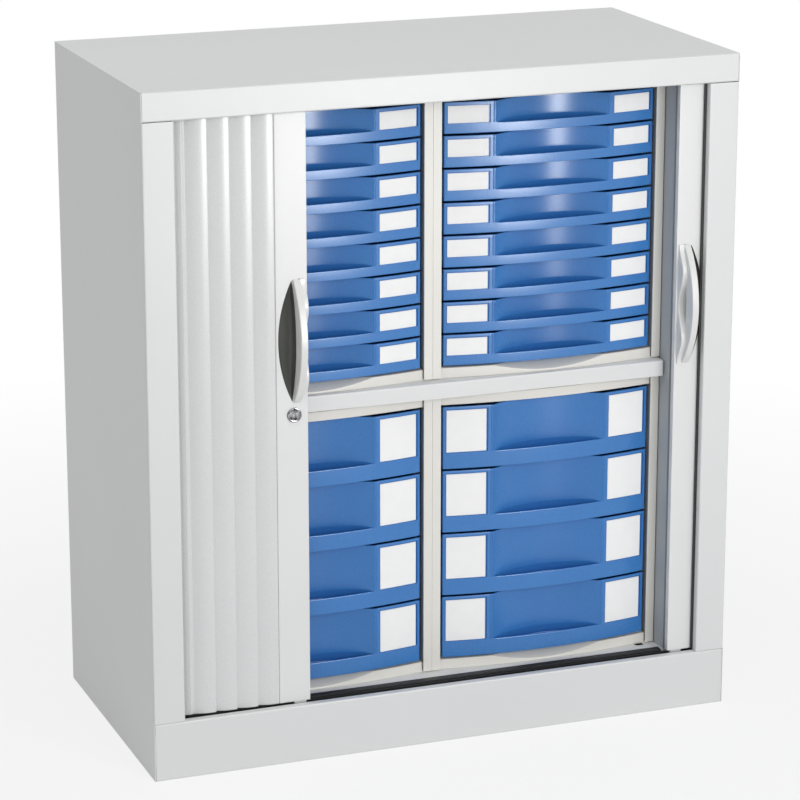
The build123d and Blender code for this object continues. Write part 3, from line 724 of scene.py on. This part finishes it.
def drawer_front(height, lip):
    """Front wall as two grids, 3 mm apart.

    Up each column the face goes from the lower edge up the lip, down into the trough
    behind it and up the scoop's wall, an arc in plan whose foot leans back.
    Outside the scoop it stays on the bow of the front and steps in inside the recesses.
    """
    x = front_columns()
    away = np.abs(x)
    inside = away <= scoop_half
    front = bow(x, front_half, front_middle, front_ends)
    grip_front = bow(scoop_half, front_half, front_middle, front_ends)
    radius = arc_radius(scoop_half, grip_depth - grip_front)
    scoop = grip_depth - radius + np.sqrt(radius**2 - np.minimum(away, scoop_half) ** 2)
    scoop = np.where(inside, scoop, front)
    run = np.clip(scoop - front, 0, None)
    share = np.clip(run / trough_run, 0, 1)
    fall = min(trough_fall, lip - trough_floor)
    trough = lip - fall * share
    lip_round = np.minimum(1.2, run / 4)
    foot_round = np.minimum(1.0, run / 3)
    lip_inner = front + lip_round
    foot = scoop + foot_lean * share
    wall_low = trough + foot_round
    front_back = front + front_wall
    foot_back = foot + front_wall
    scoop_back = scoop + front_wall
    recess_low = lip + 0.6
    recess_high = height - recess_rim
    # Height, depth of the face and depth of the back of each row inside the scoop.
    scoop_rows = [
        (0, front + 1, front_back),
        (0.3, front + 0.3, front_back),
        (1, front, front_back),
        (lip - lip_round, front, front_back),
        (lip - 0.3 * lip_round, front + 0.3 * lip_round, front_back),
        (lip, lip_inner, front_back),
        (lip, lip_inner + 0.8 * share, front_back + 0.3),
        (lip - 0.6 * share, lip_inner + 1.4 * share, front_back + 0.6),
        (trough, lip_inner + 1.8 * share, front_back + 1),
        (trough, foot - foot_round, foot_back - 0.3),
        (trough + 0.3 * foot_round, foot - 0.3 * foot_round, foot_back),
        (wall_low, foot, foot_back),
        (wall_low + (fall + 0.5) * share + 0.2, scoop, scoop_back),
        (wall_low + (fall + 2.5) * share + 0.4, scoop, scoop_back),
        (recess_high - recess_step, scoop, scoop_back),
        (recess_high + recess_step, scoop, scoop_back),
        (height - 1, scoop, scoop_back),
        (height - 0.3, scoop + 0.3, scoop_back),
        (height, scoop + 1, scoop_back),
    ]
    # Height and depth of the face of each row outside the scoop, as many as inside.
    beaded = front - beads_at(away)
    recessed = beaded + recess_depth * ((away > recess_inner[0]) & (away < recess_outer[1]))
    plain_rows = [
        (0, front + 1),
        (0.3, front + 0.3),
        (1, front),
        *[(lip - below, front) for below in (5, 4, 3, 2, 1.5, 1, 0.3)],
        (recess_low - recess_step, front),
        *[(recess_low + above, recessed) for above in (recess_step, 0.45, 0.75)],
        (recess_high - recess_step, recessed),
        (recess_high + recess_step, beaded),
        (height - 1, beaded),
        (height - 0.3, beaded + 0.3),
        (height, beaded + 1),
    ]
    heights, faces, backs = zip(*scoop_rows)
    scoop_grids = [grid_of(x, heights, faces), grid_of(x, heights, backs)]
    # Up to the trough's foot the back stays 2 mm under the trough.
    lip_rows = 11
    under = trough - 2.0
    scoop_grids[1][:lip_rows, :, 2] = np.minimum(scoop_grids[1][:lip_rows, :, 2], under)
    heights, faces = zip(*plain_rows)
    plain_grids = [grid_of(x, heights, faces), grid_of(x, heights, [front_back] * len(heights))]
    face, back = np.where(inside[:, None], scoop_grids, plain_grids)
    face[..., 1] += np.interp(away, *end_round)
    back[..., 1] = np.maximum(back[..., 1], face[..., 1] + 0.5)
    return between(face, back)


def drawer_tray(height):
    """Tray behind the front: a channel with rounded lower corners, closed by a back wall.

    In front of it a thin ledge carries its bottom on to the bow of the front.
    """
    tray_half = 166.0
    tray_low = 3.0
    tray_wall = 2.0
    tray_front = 72.5
    tray_back = 432.0
    ledge_half = 165.0
    ledge_inset = 1.6
    top = height - 6.0
    corners = [(-tray_half, top), (-tray_half, tray_low), (tray_half, tray_low), (tray_half, top)]
    channel = folded(rounded_line(corners, 4.0), tray_wall, 1, tray_front, tray_back)
    back_outline = rounded_line([*corners, corners[0]], 1.0)[:-1]
    back = prism(back_outline, 1, tray_back - tray_wall, tray_back)
    x = np.linspace(-ledge_half, ledge_half, 34)
    ledge_front = bow(x, front_half, front_middle + ledge_inset, front_ends + ledge_inset)
    ledge_back = tray_front + 0.5 + 0 * x
    lower = np.stack([np.column_stack([x, depth, tray_low + 0 * x]) for depth in (ledge_front, ledge_back)])
    return [channel, back, between(lower, lower + (0, 0, tray_wall))]


def label_cards(low, tall):
    """Two inserts that follow the bow, in the recesses at both ends of a front."""
    cards = []
    for first, last in card_places:
        x = np.linspace(first, last, 9)
        depth = bow(x, front_half, front_middle, front_ends) + recess_depth / 2
        face = grid_of(x, (low, low + tall), (depth, depth))
        cards.append(between(face, face + (0, card_thickness, 0)))
    return cards


blue_plastic = coating(
    "blue_drawer_moulding", tone(60, 127, 198), tone(57, 123, 193), 0.12, 0.28, 0.0009, 0.000012
)
card_stock = coating("white_card", tone(253, 253, 252), tone(250, 250, 250), 0.02, 0.7, 0.0004, 0.00003)
for storey, base, levels, height, lip, card in (
    ("lower", lower_level, deep_levels, deep_height, deep_lip, deep_card),
    ("upper", upper_level, shallow_levels, shallow_height, shallow_lip, shallow_card),
):
    drawer_solids = [drawer_front(height, lip), *drawer_tray(height)]
    card_solids = label_cards(*card)
    for side, word in ((-1, "left"), (1, "right")):
        for row, level in enumerate(levels):
            name = f"{storey}_{word}_drawer_{row + 1}"
            place = (side * housing_middle, base + level)
            drawer = [moved(solid, *place) for solid in drawer_solids]
            cards = [moved(solid, *place) for solid in card_solids]
            make_piece(f"{name}_moulding", drawer, name, blue_plastic, [name])
            make_piece(f"{name}_cards", cards, name, card_stock)


# Slats: moulded light grey strips, 32.4 mm apart, crowned a little and with
# rounded edges. Pins at their ends run in the tracks. The slats beside the left
# stile ride with the left door and those along the sides with the door tails;
# the slats of each closed door are gathered where they lie at rest, in a piece
# that stays still.
slat_low = 90.0
slat_high = 981.0
slat_pitch = 32.4
slat_gap = 0.2
slat_depth = 20.0
slat_thickness = 9.0
slat_edge = 1.6
slat_bevel = 2.7
side_run = 430.0
left_lath_edge = 260.0
right_lath_edge = 417.0
closed_lath_edge = 48.5
drawn_drop = 5.1
drawn_thickness = 3.9


def slat_section(width, drop, thickness):
    """Outline of a slat round its middle, second value inwards.

    After a quarter turn at the edge nearer the lead lath, its face is a parabola with its
    crest a quarter of the way across, rounder on a thicker slat. Its inner edges are bevelled.
    """
    half = width / 2
    turn = np.linspace(0, np.pi / 2, 7)[:-1]
    turn_across = slat_edge * (1 - np.cos(turn)) - half
    turn_depth = drop + thickness * (slat_edge / width - 0.25) ** 2 + slat_edge * (1 - np.sin(turn))
    across = np.linspace(slat_edge - half, half, 22)
    face = drop + thickness * ((across + half) / width - 0.25) ** 2
    inner = drop + thickness
    edge = drop + 0.7 * thickness
    back = [(half, edge), (half - slat_bevel, inner), (slat_bevel - half, inner), (-half, edge)]
    return np.concatenate([np.column_stack([turn_across, turn_depth]), np.column_stack([across, face]), back])


def slat(near, far, side, drop=0.0, thickness=slat_thickness):
    """Slat whose middle plane joins two points (x, depth) of the path, mirrored for the left side."""
    near = np.array(near)
    far = np.array(far)
    pitch = np.linalg.norm(far - near)
    along = (far - near) / pitch
    inward = np.array([-along[1], along[0]])
    section = slat_section(pitch - slat_gap, drop, thickness)
    outline = (near + far) / 2 + section[:, :1] * along + (section[:, 1:] - slat_thickness / 2) * inward
    return prism(outline * (side, 1), 2, slat_low, slat_high)


def slat_group(name, joints, side, body, replaced):
    """One piece with a slat between each two joints."""
    solids = [slat(near, far, side) for near, far in zip(joints, joints[1:])]
    return make_piece(name, solids, body, slat_plastic, [replaced])


def stowed(solids, start, end, travel):
    """Slats of a closed door, moved to where the same points lie at rest.

    Between start and end a point follows the door by travel times t * t * (3 - 2 * t),
    with t its share of the way, so that the slats are even when the door is closed.
    """
    rest = np.linspace(min(start, end), max(start, end), 400)
    share = (rest - start) / (end - start)
    closed = rest + travel * share**2 * (3 - 2 * share)
    gathered = []
    for points, faces in solids:
        x = np.interp(points[:, 0], closed, rest)
        gathered.append((np.column_stack([x, points[:, 1:]]), faces))
    return gathered


slat_plastic = coating(
    "grey_slat_moulding", tone(224, 225, 225), tone(221, 222, 222), 0.25, 0.27, 0.0012, 0.00002
)
front_joints = [(left_lath_edge + slat_pitch * step, slat_depth) for step in range(5)]
left_side_joints = [(393.0, 21.6), (420.4, 31.3)]
left_side_joints += [(side_run, 62.0 + slat_pitch * step) for step in range(7)]
right_side_joints = [(415.5, 27.1)]
right_side_joints += [(side_run, 56.1 + slat_pitch * step) for step in range(12)]
closed_joints = [(closed_lath_edge + slat_pitch * step, slat_depth) for step in range(13)]
front_slats = slat_group("left_front_curtain", front_joints, -1, "left_door", "left_front_slats")
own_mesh(front_slats)
left_side = slat_group("left_side_curtain", left_side_joints, -1, "left_door_tail", "left_side_slats")
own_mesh(left_side)
right_side = slat_group("right_side_curtain", right_side_joints, 1, "right_door_tail", "right_side_slats")
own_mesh(right_side)
for side, word, lath_edge, still_edge in (
    (-1, "left", left_lath_edge, 440.0),
    (1, "right", right_lath_edge, 452.0),
):
    start = side * still_edge
    end = side * lath_edge
    travel = side * (closed_lath_edge - lath_edge)
    closed_slats = []
    for near, far in zip(closed_joints, closed_joints[1:]):
        closed_slats.append(slat(near, far, side, drawn_drop, drawn_thickness))
    drawn_slats = stowed(closed_slats, start, end, travel)
    replaced = [f"{word}_side_slats"]
    spread = make_piece(f"{word}_drawn_curtain", drawn_slats, None, slat_plastic, replaced)
    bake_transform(spread)
coat_node("left_tail_slat", slat_plastic)
coat_node("right_tail_slat", slat_plastic)


# Lead laths: the stiff first slat of each door, thinner along its outer edge,
# with a lens-shaped hole for the finger cup. Its tongue runs in the tracks.
lath_width = 48.0
lath_face = 15.5
lath_back = 24.5
rebate_start = 36.0
rebate_back = 19.5
handle_height = 639.7
lens_half_height = 90.0
lens_tip = 24.0
lens_inner = 17.0
lens_outer = 44.7
lens_meets_rebate = 59.234
tongue_edges = (6.0, 24.0)
tongue_depth = (17.5, 22.5)
tongue_low = 75.0
tongue_high = 993.0
door_edges = (
    (-1, "left", left_lath_edge - lath_width),
    (1, "right", right_lath_edge - lath_width),
)


def lens_edges(rise):
    """Inner and outer edge of the lens at a height above its middle: two arcs that meet at the tips."""
    rise = np.minimum(np.abs(rise), lens_half_height)
    inner_radius = arc_radius(lens_half_height, lens_tip - lens_inner)
    outer_radius = arc_radius(lens_half_height, lens_outer - lens_tip)
    inner = lens_inner + inner_radius - np.sqrt(inner_radius**2 - rise**2)
    outer = lens_outer - outer_radius + np.sqrt(outer_radius**2 - rise**2)
    return inner, outer


def lath_strip(side, edge, z, across, face, back):
    """Upright strip of a lath: across holds distances from the closing edge, one column of the grid each."""
    across = np.stack([place + 0 * z for place in across], axis=1)
    x = side * (edge + across)
    front = np.stack([x, face + 0 * x, z[:, None] + 0 * x], axis=-1)
    rear = np.stack([x, back + 0 * x, z[:, None] + 0 * x], axis=-1)
    return between(front, rear)


def lath(side, edge):
    """Strips inside the lens, between the lens and the rebate, and along the rebate, with the tongue."""
    rise = lens_half_height * np.sin(np.linspace(-np.pi / 2, np.pi / 2, 41))
    rise = np.sort(np.concatenate([rise, [-lens_meets_rebate, lens_meets_rebate]]))
    z = np.concatenate([[slat_low], handle_height + rise, [slat_high]])
    inner, outer = lens_edges(z - handle_height)
    middle = [np.minimum(outer, rebate_start), rebate_start]
    rim = [np.maximum(outer, rebate_start), lath_width - 1.6, lath_width - 0.4, lath_width]
    rounding = [lath_face, lath_face, lath_face + 0.4, lath_face + 1.6]
    tongue = sorted(side * (edge + across) for across in tongue_edges)
    return [
        lath_strip(side, edge, z, [0.0, 0.4, 1.6, inner], rounding[::-1], lath_back),
        lath_strip(side, edge, z, middle, lath_face, lath_back),
        lath_strip(side, edge, z, rim, rounding, rebate_back),
        slab(tongue, tongue_depth, (tongue_low, slat_low + 2.0)),
        slab(tongue, tongue_depth, (slat_high - 2.0, tongue_high)),
    ]


lath_plastic = coating(
    "grey_lath_moulding", tone(232, 233, 232), tone(229, 230, 229), 0.25, 0.36, 0.0012, 0.00002
)
for side, word, edge in door_edges:
    strips = lath(side, edge)
    make_piece(f"{word}_lath", strips, f"{word}_door", lath_plastic, [f"{word}_lead_lath"])


# Finger cups: dark lens-shaped dishes set into the laths, so that the fingers
# can go behind the bow of the handle.
cup_rim = lath_face + 0.2
cup_depth = 11.3
cup_wall = 1.5
cup_play = 0.15
cup_tip_play = 0.6


def cup(side, edge):
    """Dish across the lens: its depth is the root of 1 - s**4, with s from -1 to 1 across the lens.

    Towards the tips it gets shallower by the fifth power of the height.
    """
    rise = (lens_half_height - cup_tip_play) * np.sin(np.linspace(-np.pi / 2, np.pi / 2, 49))
    share = np.sin(np.linspace(-np.pi / 2, np.pi / 2, 25))
    inner, outer = lens_edges(rise)
    inner = inner[:, None] + cup_play
    outer = outer[:, None] - cup_play
    x = side * (edge + (inner + outer) / 2 + (outer - inner) / 2 * share)
    bowl = np.sqrt(1 - share**4) * (1 - np.abs(rise[:, None] / lens_half_height) ** 5)
    inside = np.stack([x, cup_rim + cup_depth * bowl, handle_height + rise[:, None] + 0 * x], axis=-1)
    return between(inside, inside + (0, cup_wall, 0))


cup_plastic = coating("dark_cup_moulding", tone(99, 100, 96), tone(93, 94, 90), 0.05, 0.42, 0.0009, 0.00002)
for side, word, edge in door_edges:
    dish = cup(side, edge)
    make_piece(f"{word}_cup", [dish], f"{word}_door", cup_plastic, [f"{word}_handle_cup"])


# Handles: one moulding of two ribbons side by side, screwed on from behind. The
# inner ribbon lies on the lath in two waves, and the outer one is a free bow.
handle_half = 90.95
end_rise = 2.7
wave_rise = 14.0
wave_crest = 51.0
# Distance of each ribbon from the closing edge, and its width.
wave_place = (3.3, 10.4)
bow_place = (11.2, 10.8)
bow_rise = 36.5
bow_foot = 76.95
slit_rise = 12.5


def ribbon(side, edge, place, rise, face, back):
    """Ribbon with rounded long edges: face and back are its reaches from the lath at each height."""
    start, width = place
    across = np.array([0.0, 0.3, 0.8, 1.6, width - 1.6, width - 0.8, width - 0.3, width])
    drop = np.array([1.6, 0.75, 0.2, 0.0, 0.0, 0.2, 0.75, 1.6])
    x = side * (edge + start + across) + 0 * rise[:, None]
    z = handle_height + rise[:, None] + 0 * x
    front = lath_face - face[:, None] + drop * np.clip(face[:, None] / 6, 0, 1)
    rear = lath_face - back[:, None] - np.minimum(0.6 * drop, back[:, None])
    return between(np.stack([x, front, z], axis=-1), np.stack([x, rear + 0 * x, z], axis=-1))


def handle_solids(side, edge):
    """Both ribbons: the waves are cosines between ends, crests and middle, and the bow is two arcs."""
    lower = np.linspace(-handle_half, -bow_foot, 6)
    middle = np.linspace(-bow_foot, bow_foot, 67)
    upper = np.linspace(bow_foot, handle_half, 6)
    rise = np.concatenate([lower[:-1], middle, upper[1:]])
    away = np.abs(rise)
    outer_share = 1 + (away - wave_crest) / (handle_half - wave_crest)
    turn = np.where(away < wave_crest, away / wave_crest, outer_share) * np.pi
    wave = end_rise + wave_rise * (1 - np.cos(turn)) / 2
    outer_radius = arc_radius(handle_half, bow_rise - end_rise)
    bow_face = bow_rise - outer_radius + np.sqrt(outer_radius**2 - rise**2)
    inner_radius = arc_radius(bow_foot, slit_rise)
    bow_back = slit_rise - inner_radius + np.sqrt(inner_radius**2 - np.minimum(away, bow_foot) ** 2)
    return [
        ribbon(side, edge, wave_place, rise, wave, 0 * rise),
        ribbon(side, edge, bow_place, rise, bow_face, np.clip(bow_back, 0, None)),
    ]


handle_plastic = coating(
    "light_grey_handle_moulding", tone(234, 235, 233), tone(229, 230, 228), 0.04, 0.3, 0.0008, 0.000012
)
for side, word, edge in door_edges:
    ribbons = handle_solids(side, edge)
    make_piece(f"{word}_pull", ribbons, f"{word}_door", handle_plastic, [f"{word}_handle"])
    coat_node(f"{word}_handle_screws", zinc)


# Lock: a nickel-plated bezel with its sleeve in the left lath, and the barrel
# with its key slot, which turns the cam behind the lath. Bezel and barrel carry
# painted reflections: near-black patches in the nickel colour stand in for what
# the bright metal mirrors.
def turned(profile, x, z, steps=56):
    """Closed profile (radius, depth) turned once round a front-to-back axis through (x, z)."""
    profile = np.array(profile)
    turn = np.linspace(0, 2 * np.pi, steps, endpoint=False)[:, None]
    radius = profile[:, 0]
    depth = profile[:, 1] + 0 * turn
    points = np.stack([x + radius * np.cos(turn), depth, z + radius * np.sin(turn)], axis=-1)
    index = np.arange(points[..., 0].size).reshape(points.shape[:2])
    after = np.roll(index, -1, axis=0)
    quads = np.stack([index, np.roll(index, -1, axis=1), np.roll(after, -1, axis=1), after], axis=-1)
    quads = quads.reshape(-1, 4)
    points = points.reshape(-1, 3)
    if volume(points, quads) < 0:
        quads = quads[:, ::-1]
    return points, quads.tolist()


lock_x = -233.4
lock_height = 529.9
bezel_profile = [
    (7.95, 24.5), (9.5, 24.5), (9.5, 15.5), (11.0, 15.5), (11.0, 14.3), (10.8, 13.7), (10.4, 13.25),
    (9.8, 13.1), (8.6, 13.15), (8.15, 13.4), (7.95, 13.9),
]
# Pale nickel tone with near-black patches: painted reflections, for contrast in the bright metal.
nickel_with_painted_reflections = coating(
    "nickel_plate_with_painted_reflections", tone(176, 176, 179), tone(40, 40, 42), 0.0055, 0.16, 0.0004, 0.000006, metallic=1.0
)
bezel = turned(bezel_profile, lock_x, lock_height)
make_piece("lock_ring", [bezel], "left_door", nickel_with_painted_reflections, ["lock_bezel"], smooth=30.0)
coat_node("lock_barrel", nickel_with_painted_reflections)
coat_node("lock_cam", zinc)
